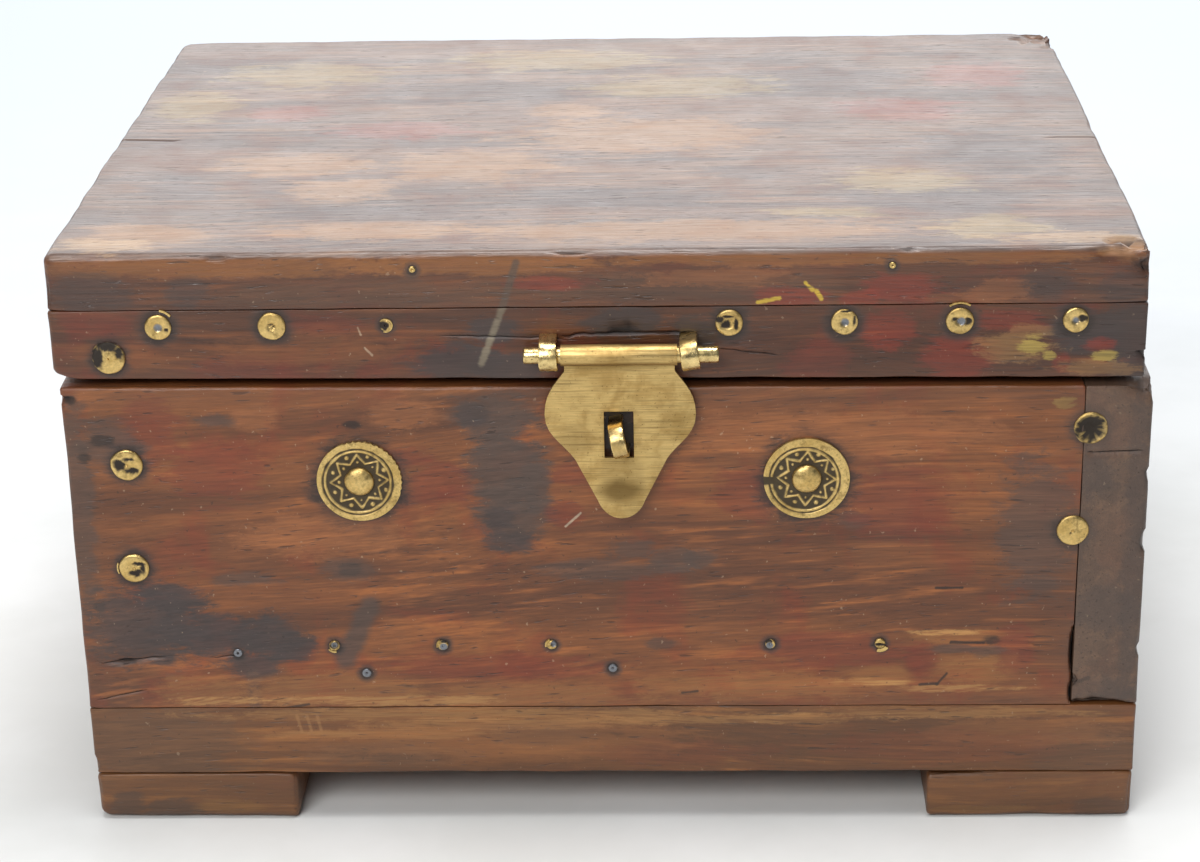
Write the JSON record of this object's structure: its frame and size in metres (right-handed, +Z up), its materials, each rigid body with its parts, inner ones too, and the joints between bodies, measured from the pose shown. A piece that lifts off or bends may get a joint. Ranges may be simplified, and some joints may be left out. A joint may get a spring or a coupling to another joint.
{
  "type": "wooden box",
  "caption": "Rectangular wooden box with hinged lid, corner feet, brass hasp over a staple, studs and rosettes.",
  "frame": {"origin": "centre of the whole object's footprint, on the plane the feet stand on", "axes": "+Z up, front with the hasp towards -Y, +X to the right seen from the front"},
  "size_m": [0.2812, 0.2336, 0.162],
  "materials": {
    "wood": "worn oil finish",
    "brass": "aged, brushed",
    "iron": "worn, dull"
  },
  "bodies": {
    "box": {"front_board": "wood", "back_board": "wood", "left_side_board": "wood", "right_side_board": "wood", "bottom_board": "wood", "foot_front_left": "wood", "foot_front_right": "wood", "foot_back_left": "wood", "foot_back_right": "wood", "front_stud_upper_left": "brass", "front_stud_lower_left": "brass", "front_stud_upper_right": "brass", "front_stud_lower_right": "brass", "front_nail_1": "brass", "front_nail_2": "brass", "front_nail_3": "brass", "front_nail_5": "brass", "front_nail_6": "brass", "iron_nail_left": "iron", "iron_nail_middle": "iron", "iron_nail_right": "iron", "rosette_left": "brass", "rosette_right": "brass", "rosette_nail_left": "brass", "rosette_nail_right": "brass", "lock_staple": "brass", "hinge_left_body_leaf": "brass", "hinge_left_pin": "brass", "hinge_left_body_nail_a": "brass", "hinge_left_body_nail_b": "brass", "hinge_right_body_leaf": "brass", "hinge_right_pin": "brass", "hinge_right_body_nail_a": "brass", "hinge_right_body_nail_b": "brass"},
    "lid": {"lid_front_rail": "wood", "lid_back_rail": "wood", "lid_left_rail": "wood", "lid_right_rail": "wood", "lid_top_board": "wood", "lid_stud_1": "brass", "lid_stud_2": "brass", "lid_stud_3_worn": "brass", "lid_stud_6": "brass", "lid_stud_7": "brass", "lid_stud_8": "brass", "lid_stud_9": "brass", "lid_corner_stud": "brass", "top_pin_left": "brass", "top_pin_right": "brass", "hasp_strap_left": "brass", "hasp_strap_right": "brass", "hasp_pin": "brass", "hinge_left_lid_leaf": "brass", "hinge_left_lid_nail_a": "brass", "hinge_left_lid_nail_b": "brass", "hinge_right_lid_leaf": "brass", "hinge_right_lid_nail_a": "brass", "hinge_right_lid_nail_b": "brass"},
    "hasp": {"hasp_plate": "brass"}
  },
  "joints": [
    {"name": "lid_hinge", "type": "hinge", "parent": "box", "child": "lid", "pos_m": [0.0006, 0.1141, 0.1265], "axis": [-1, 0, 0], "range_deg": [0, 180]},
    {"name": "hasp_hinge", "type": "hinge", "parent": "lid", "child": "hasp", "pos_m": [0.0048, -0.1118, 0.136], "axis": [-1, 0, 0], "range_deg": [0, 190]}
  ]
}
